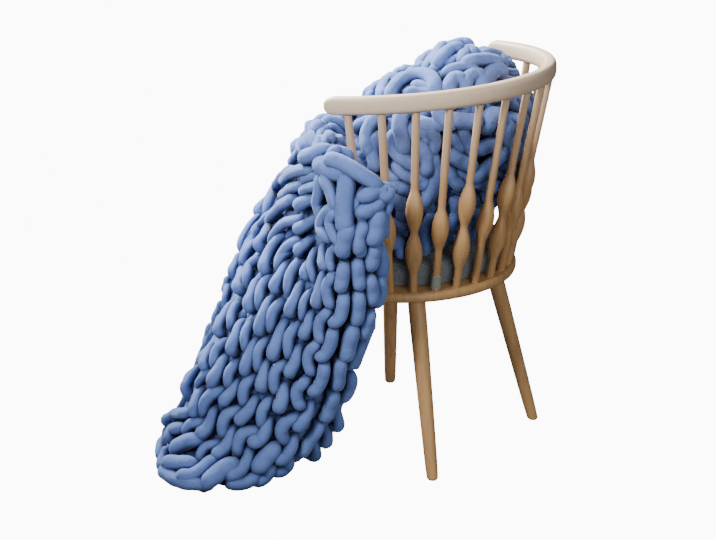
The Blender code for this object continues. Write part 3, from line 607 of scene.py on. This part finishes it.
def press_down(curve, depth):
    """Sinks the points of the knit that lie under a drawn loop, no deeper than its back."""
    over = np.concatenate([on_blanket(loop_curve(loop))[0][::2]
                           for loop in OUTER_LOOPS + HEAP_LOOPS])
    path = on_blanket(curve)[0]
    away = np.array([np.sqrt(((over - point) ** 2).sum(1).min()) for point in path])
    edge = np.clip((COLUMNS - curve[:, 0]) / SINK_FADE, SINK_AT_EDGE, 1)
    sink = np.clip(SINK_REACH - away / YARN, 0, 1) * LOOP_SINK * edge * depth / DEPTH
    deepest = np.minimum(curve[:, 2], curve[:, 3] / 2 - depth)
    curve[:, 2] = np.maximum(curve[:, 2] - sink, deepest)


def make_loops(name, loops, look, full):
    """The loops that are drawn out over one part of the knit, in one piece."""
    yarns = Yarns()
    for loop in map(loop_curve, loops):
        path, guide = on_blanket(loop)
        radius = loop[:, 3] * YARN * full / 2
        yarns.add(above_floor(path, radius), radius, guide, LOOP_SIDES)
    yarns.piece(name, look)


def make_knit(name, first, last, loops, look, seed, depth=DEPTH, full=LOOP_FULL):
    """Rows of knit in one endless yarn, with their reverse and the loops drawn out over them."""
    rng = np.random.default_rng(seed)
    rows = []
    for row in range(first, last):
        points = row_points(row, rng)
        rows.append(points[::-1] if row % 2 else points)
    curve = catmull(np.concatenate(rows), 3)
    if loops:
        press_down(curve, depth)
        make_loops(name + "_loops", loops, look, full)
    yarns = Yarns()
    path, guide = on_blanket(curve)
    radius = curve[:, 3] * YARN / 2
    yarns.add(above_floor(path, radius), radius, guide, YARN_SIDES)
    lines = [line for row in range(first, last) for line in back_curves(row, depth)]
    for line in lines + list(selvedge(first, last)):
        path, guide = on_blanket(line)
        radius = np.full(len(path), BACK_SHARE * YARN / 2)
        yarns.add(above_floor(path, radius), radius, guide, BACK_SIDES)
    yarns.piece(name, look)


def above_floor(path, radius):
    """The same path, lifted where its yarn would go into the floor."""
    path = path.copy()
    path[:, 2] = np.maximum(path[:, 2], radius + FLOOR_GAP)
    return path


# ------ materials

class Nodes:
    """Small helper for building a material's node tree."""

    def __init__(self, name, roughness, sheen=0.0):
        self.material = bpy.data.materials.new(name)
        self.material.use_nodes = True
        self.tree = self.material.node_tree
        self.shader = self.tree.nodes["Principled BSDF"]
        self.shader.inputs["Roughness"].default_value = roughness
        self.shader.inputs["Sheen Weight"].default_value = sheen

    def add(self, kind, settings=(), **inputs):
        """A node with its settings and inputs, which go by a socket's name, or i and its number."""
        node = self.tree.nodes.new("ShaderNode" + kind)
        for key, value in dict(settings).items():
            setattr(node, key, value)
        for key, value in inputs.items():
            numbered = key[0] == "i" and key[1:].isdigit()
            socket = node.inputs[int(key[1:]) if numbered else key.replace("_", " ")]
            if isinstance(value, bpy.types.NodeSocket):
                self.tree.links.new(value, socket)
            else:
                socket.default_value = value
        return node

    def noise(self, vector, scale, detail, **inputs):
        node = self.add("TexNoise", Vector=vector, Scale=scale, Detail=detail, **inputs)
        return node.outputs["Fac"]

    def weigh(self, value, weight, base):
        """The value times its weight, added to the base."""
        return self.add("Math", {"operation": "MULTIPLY_ADD"}, i0=value, i1=weight,
                        i2=base).outputs["Value"]

    def ramp(self, factor, *stops):
        node = self.add("ValToRGB", Fac=factor)
        ramp = node.color_ramp
        while len(ramp.elements) < len(stops):
            ramp.elements.new(0.5)
        for element, (place, colour) in zip(ramp.elements, stops):
            element.position = place
            element.color = (*colour, 1.0)
        return node.outputs["Color"]

    def bump(self, height, strength, distance):
        node = self.add("Bump", Height=height, Strength=strength, Distance=distance)
        self.tree.links.new(node.outputs["Normal"], self.shader.inputs["Normal"])

    def colour(self, socket):
        self.tree.links.new(socket, self.shader.inputs["Base Color"])


def yarn_material():
    """Brushed jersey tube: fine rows of tiny stitches along the yarn, soft fuzz and uneven dye,
    with painted shade darkening the gaps between yarns.
    """
    m = Nodes("knit_yarn", 0.95, 0.25)
    m.shader.inputs["Sheen Roughness"].default_value = 0.5
    m.shader.inputs["Sheen Tint"].default_value = (0.70, 0.82, 1.0, 1.0)
    m.shader.inputs["Specular IOR Level"].default_value = 0.2
    place = m.add("TexCoord").outputs["Object"]
    dye = m.weigh(m.noise(place, 520.0, 2.0), 0.45, m.noise(place, 18.0, 5.0, Roughness=0.6))
    dyed = m.ramp(dye, (0.45, YARN_DEEP), (1.0, YARN_PALE))
    # Painted shade: ambient occlusion darkens the yarn's colour in the gaps between yarns, towards
    # the painted shade tint.
    painted_shade_ao = m.add("AmbientOcclusion", {"samples": 8}, Distance=PAINTED_SHADE_REACH).outputs["AO"]
    painted_shade = m.ramp(painted_shade_ao, (0.20, PAINTED_SHADE_TINT), (0.85, (1.0, 1.0, 1.0)))
    m.colour(m.add("Mix", {"data_type": "RGBA", "blend_type": "MULTIPLY"}, i0=1.0, i6=dyed,
                   i7=painted_shade).outputs[2])
    along = m.add("UVMap", {"uv_map": "along"}).outputs["UV"]
    stretch = m.add("Mapping", Vector=along, Scale=(34.0, 260.0, 1.0)).outputs["Vector"]
    rib = m.add("TexVoronoi", Vector=stretch, Scale=1.0).outputs["Distance"]
    fuzz = m.weigh(m.noise(place, 420.0, 4.0), 0.7, rib)
    m.bump(m.weigh(m.noise(place, 60.0, 2.0), 2.0, fuzz), 0.55, 0.0014)
    return m.material


def wood_material(name, pale, deep, grain_axis):
    """Waxed wood with its grain along one axis, with painted light making it paler towards the
    rail.
    """
    m = Nodes(name, 0.48)
    place = m.add("TexCoord").outputs["Object"]
    scale = [90.0, 90.0, 90.0]
    scale[grain_axis] = 6.0
    mapped = m.add("Mapping", Vector=place, Scale=tuple(scale)).outputs["Vector"]
    grain = m.noise(mapped, 1.0, 6.0, Roughness=0.6, Distortion=0.6)
    tone = m.ramp(grain, (0.25, deep), (0.62, pale))
    # Painted light: higher up, the wood is mixed towards a paler tone, for the brighter light near
    # the rail.
    height = m.add("SeparateXYZ", Vector=place).outputs["Z"]
    painted_light = m.add("MapRange", i0=height, i1=PAINTED_LIGHT_SPAN[0], i2=PAINTED_LIGHT_SPAN[1], i3=0.0,
                 i4=PAINTED_LIGHT_MOST).outputs["Result"]
    m.colour(m.add("Mix", {"data_type": "RGBA"}, i0=painted_light, i6=tone, i7=(*PAINTED_LIGHT_TONE, 1.0)).outputs[2])
    m.bump(grain, 0.12, 0.0006)
    return m.material


def weave_material(name, pale, deep, scale):
    """Coarse flecked cloth; a higher scale gives a finer weave."""
    m = Nodes(name, 0.95, 0.2)
    place = m.add("TexCoord").outputs["Object"]
    mapped = m.add("Mapping", Vector=place, Scale=(scale,) * 3).outputs["Vector"]
    warp = m.add("TexWave", {"bands_direction": "DIAGONAL"}, Vector=mapped, Scale=1.0,
                 Distortion=1.5, Detail=2.0)
    weft = m.add("TexWave", {"bands_direction": "Z"}, Vector=mapped, Scale=1.3,
                 Distortion=1.0, Detail=2.0)
    both = m.add("Math", {"operation": "MULTIPLY"}, i0=warp.outputs["Fac"], i1=weft.outputs["Fac"])
    mixed = m.weigh(both.outputs["Value"], 0.5, m.noise(place, 350.0, 3.0))
    m.colour(m.ramp(mixed, (0.35, deep), (0.95, pale)))
    m.bump(mixed, 0.5, 0.0010)
    return m.material


# ------ chair

BULGE_POWER = 1.3  # 0.5 is round, and more is slimmer at its ends
SPINDLE_RINGS = 90
SHARP_ANGLE = 50  # from which an edge of turned wood isn't shaded smooth


def ring_point(radii, centre_y, angle):
    turn = math.radians(angle)
    return radii[0] * math.sin(turn), centre_y + radii[1] * math.cos(turn)


def rail_underside(angle):
    return RAIL_UNDERSIDE + RAIL_RISE * math.cos(math.radians(angle))


def spindle_angles():
    """From the front on the near side round the back to the front on the far side."""
    near = [SIDE_ANGLE - NEAR_SPACING * i for i in range(NEAR_COUNT)]
    far_spacing = (near[-1] + SIDE_ANGLE) / FAR_COUNT
    return near + [near[-1] - far_spacing * (i + 1) for i in range(FAR_COUNT)]


def turned_piece(name, node, profile, foot, head, look, sides=28):
    """A turned solid from (radius, place) pairs, sheared so that it stands from foot to head."""
    turn = np.linspace(0, 2 * np.pi, sides, endpoint=False)
    profile = np.asarray(profile, float)
    axis = foot + (head - foot) * profile[:, 1:2]
    circle = np.stack([np.cos(turn), np.sin(turn), np.zeros(sides)], 1)
    rings = axis[:, None] + profile[:, 0][:, None, None] * circle[None]
    faces = ring_faces(len(profile), sides)
    item = new_piece(name, rings.reshape(-1, 3).tolist(), faces, look)
    item.data.set_sharp_from_angle(angle=math.radians(SHARP_ANGLE))
    take_place(item, node)


def make_spindles(look):
    for number, angle in enumerate(spindle_angles(), start=1):
        foot = np.array((*ring_point(FOOT_RING, 0.0, angle), PLATE_TOP + GAP))
        head = np.array((*ring_point(RAIL_RING, RAIL_CENTRE_Y, angle), rail_underside(angle)))
        node = f"spindle_{number:02d}"
        length = np.linalg.norm(head - foot)
        places = np.linspace(0, 1, SPINDLE_RINGS)
        swell = np.zeros_like(places)
        for bulge in DOUBLE_BULGE if number % 2 else SINGLE_BULGE:
            away = np.clip(np.abs(places - bulge) * length / BULGE_HALF_LENGTH, 0, 1)
            swell += (1 - away**2) ** BULGE_POWER
        profile = np.stack([SHAFT_RADIUS + BULGE_HEIGHT * swell, places], 1)
        turned_piece("turned_" + node, node, profile, foot, head, look)


def make_legs(look):
    height = PLATE_TOP - PLATE_THICKNESS - GAP
    thin, thick = LEG_FOOT_RADIUS, LEG_TOP_RADIUS
    profile = catmull(np.array(((thin * 0.72, 0.0), (thin * 0.96, 0.010), (thin * 1.04, 0.030),
                                (thin * 1.18, 0.18), (thick * 0.96, 0.72), (thick, 0.90),
                                (thick, 1.0))), 5)
    across, forward, behind = LEG_FEET
    for side, side_name in ((1, "near"), (-1, "far")):
        for depth, reach, end_name in ((-1, forward, "front"), (1, behind, "back")):
            head = np.array((side * LEG_TOPS[0], depth * LEG_TOPS[1], height))
            foot = np.array((side * across, depth * reach, 0.0))
            node = f"leg_{side_name}_{end_name}"
            turned_piece("turned_" + node, node, profile, foot, head, look, 40)


RAIL_SIDES = 28
RAIL_STATIONS = 150
RAIL_ROUNDING = 4.2  # degrees of each end that are rounded off
RAIL_END_SHARE = 0.08  # least size of the outline there
RAIL_SQUARENESS = (0.75, 0.62)  # 1 is an ellipse and 0 a rectangle, across and up


def rail_stations():
    """Angles of the rail's rings, which are closer together in its rounded ends."""
    even = np.linspace(-RAIL_END_ANGLE, RAIL_END_ANGLE, RAIL_STATIONS)
    ends = [RAIL_ROUNDING * (1 - math.cos(math.pi / 2 * t / 8)) - RAIL_END_ANGLE for t in range(9)]
    return sorted({*(round(a, 4) for a in even if abs(a) < RAIL_END_ANGLE - RAIL_ROUNDING),
                   *(round(a, 4) for a in ends), *(round(-a, 4) for a in ends)})


def rail_outline():
    """The rail's rounded section, as shares of its width and height."""
    outline = []
    for k in range(RAIL_SIDES):
        turn = 2 * math.pi * k / RAIL_SIDES
        outline.append([math.copysign(abs(wave) ** power, wave) * 0.5 for wave, power
                        in zip((math.cos(turn), math.sin(turn)), RAIL_SQUARENESS)])
    return outline


def make_rail(look):
    verts = []
    stations, outline = rail_stations(), rail_outline()
    for angle in stations:
        left = min((RAIL_END_ANGLE - abs(angle)) / RAIL_ROUNDING, 1)
        share = max(math.sqrt(max(1 - (1 - left) ** 2, 0)), RAIL_END_SHARE)
        turn = math.radians(angle)
        x, y = ring_point(RAIL_RING, RAIL_CENTRE_Y, angle)
        outward = Vector((math.sin(turn) * RAIL_RING[1], math.cos(turn) * RAIL_RING[0], 0))
        outward.normalize()
        middle = Vector((x, y, rail_underside(angle) + RAIL_HEIGHT / 2))
        verts += [middle + outward * u * RAIL_WIDTH * share
                  + Vector((0, 0, v * RAIL_HEIGHT * share)) for u, v in outline]
    item = new_piece("bent_rail", verts, ring_faces(len(stations), RAIL_SIDES), look)
    take_place(item, "rail")


def make_plate(look):
    """A round plate from (share of its radii, share of its thickness) pairs, with eased edges."""
    profile = ((0.975, -1.0), (0.992, -0.90), (1.0, -0.62), (1.0, -0.38), (0.992, -0.10),
               (0.975, 0.0))
    sides = 128
    verts = []
    for share, level in profile:
        for k in range(sides):
            turn = math.tau * k / sides
            verts.append((PLATE_RADII[0] * share * math.cos(turn),
                          PLATE_RADII[1] * share * math.sin(turn),
                          PLATE_TOP + level * PLATE_THICKNESS))
    item = new_piece("turned_seat_plate", verts, ring_faces(len(profile), sides), look)
    take_place(item, "seat_plate")


CUSHION_INSET = 0.001  # by which the pad stays inside its profile
RIPPLE = 0.0010  # how far its edge goes in and out
RIPPLE_FROM = 0.2  # radius outside which it does


def make_cushion(look):
    """A round filled pad with a soft edge and a raised seam round its top and bottom."""
    sides, base = 144, PLATE_TOP + GAP
    profile = catmull(np.array(((0.10, 0.0), (0.190, 0.000), (0.2045, 0.006), (0.2075, 0.0075),
                                (0.2060, 0.010), (0.2100, 0.020), (0.2110, 0.030),
                                (0.2095, 0.041), (0.2055, 0.0485), (0.2065, 0.0505),
                                (0.2035, 0.0525), (0.1900, 0.0555), (0.150, 0.0578),
                                (0.080, 0.058))), 3)
    verts = []
    for radius, level in profile:
        for k in range(sides):
            turn = math.tau * k / sides
            ripple = math.sin(turn * 23 + 1.3 * math.sin(turn * 3)) * (radius > RIPPLE_FROM)
            reach = radius - CUSHION_INSET + RIPPLE * ripple
            verts.append((reach * math.cos(turn), reach * math.sin(turn), base + level))
    item = new_piece("filled_cushion", verts, ring_faces(len(profile), sides), look)
    take_place(item, "cushion")


# ------ floor, light and camera

def camera_glow(tree, shader, output, strength):
    """Adds a glow that only the camera sees, so that the grey floor and sky look plain white."""
    path = tree.nodes.new("ShaderNodeLightPath")
    power = tree.nodes.new("ShaderNodeMath")
    power.operation = "MULTIPLY"
    power.inputs[1].default_value = strength
    is_sky = shader.type == "BACKGROUND"
    glow = tree.nodes.new("ShaderNodeBackground" if is_sky else "ShaderNodeEmission")
    both = tree.nodes.new("ShaderNodeAddShader")
    tree.links.new(path.outputs["Is Camera Ray"], power.inputs[0])
    tree.links.new(power.outputs["Value"], glow.inputs["Strength"])
    tree.links.new(shader.outputs[0], both.inputs[0])
    tree.links.new(glow.outputs[0], both.inputs[1])
    tree.links.new(both.outputs[0], output.inputs["Surface"])
    glow.inputs["Color"].default_value = (1.0, 1.0, 1.0, 1.0)


def make_stage():
    m = Nodes("studio_floor", 0.9)
    m.shader.inputs["Base Color"].default_value = (*FLOOR_GREY, 1.0)
    m.shader.inputs["Specular IOR Level"].default_value = 0.0
    camera_glow(m.tree, m.shader, m.tree.nodes["Material Output"], FLOOR_GLOW)
    verts = [(x * FLOOR_HALF_SIDE, y * FLOOR_HALF_SIDE, 0)
             for x, y in ((-1, -1), (1, -1), (1, 1), (-1, 1))]
    floor = new_piece("studio_floor", verts, [(0, 1, 2, 3)], m.material)
    world = bpy.data.worlds.new("studio")
    world.use_nodes = True
    tree = world.node_tree
    sky = tree.nodes["Background"]
    sky.inputs["Color"].default_value = (1.0, 1.0, 1.0, 1.0)
    sky.inputs["Strength"].default_value = SKY_STRENGTH
    camera_glow(tree, sky, tree.nodes["World Output"], FLOOR_GLOW)
    bpy.context.scene.world = world


def make_light(name, place, target, size, power, spread=180):
    """A round lamp aimed at its target; a narrow spread in degrees makes it a brighter beam."""
    light = bpy.data.lights.new(name, "AREA")
    light.spread = math.radians(spread)
    light.shape = "DISK"
    light.size = size
    light.energy = power
    item = bpy.data.objects.new(name, light)
    item.location = Vector(place) + SHIFT
    item.rotation_euler = (Vector(target) - Vector(place)).to_track_quat("-Z", "Y").to_euler()
    bpy.context.scene.collection.objects.link(item)


def make_camera():
    """The photo's own view, as solved from the chair's rings: directions, place and lens."""
    right = Vector((-0.58021922, 0.81446035, 0.0))
    up = Vector((-0.26253931, -0.18703225, 0.94662138))
    forward = Vector((-0.77098558, -0.54924792, -0.32234757))
    place = Vector((3.75552815, 2.55713915, 1.90878964))
    camera = bpy.data.cameras.new("photo_view")
    camera.lens = 112.233
    camera.sensor_width = 36.0
    item = bpy.data.objects.new("photo_view", camera)
    turn = Matrix((right, up, -forward)).transposed().to_4x4()
    item.matrix_world = Matrix.Translation(place + SHIFT) @ turn
    bpy.context.scene.collection.objects.link(item)
    bpy.context.scene.camera = item


def main():
    make_camera()
    make_stage()
    make_light("key", (-0.25, -1.5, 2.0), (0.1, 0, 0.8), 1.0, 31, 60)
    make_light("front", (2.9, -0.1, 2.9), (0.25, 0.1, 0.80), 1.2, 7, 34)
    make_light("right", (1.8, 2.8, 1.1), (0.1, 0.1, 0.4), 1.8, 38)
    yarn = yarn_material()
    beech = wood_material("beech_wood", (0.56, 0.325, 0.135), (0.42, 0.225, 0.085), 2)
    # Painted light: the rail's wood is given paler tones than the beech, for the brighter light on
    # the rail.
    pale = wood_material("painted_light_rail_wood", (0.76, 0.56, 0.40), (0.62, 0.42, 0.27), 0)
    felt = weave_material("cushion_weave", (0.26, 0.29, 0.32), (0.085, 0.10, 0.11), 260.0)
    web = weave_material("loop_weave", (0.38, 0.40, 0.36), (0.17, 0.19, 0.17), 420.0)
    make_knit("knit_fall", 0, 10, OUTER_LOOPS, yarn, 3)
    make_knit("knit_heap", 10, 20, HEAP_LOOPS, yarn, 4, HEAP_DEPTH, HEAP_FULL)
    make_knit("knit_seat", 20, ROWS, (), yarn, 5)
    make_spindles(beech)
    make_legs(beech)
    make_rail(pale)
    make_plate(beech)
    make_cushion(felt)
    for name in ("cushion_loop_1", "cushion_loop_2"):
        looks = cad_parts[name].data.materials
        looks.clear()
        looks.append(web)


main()
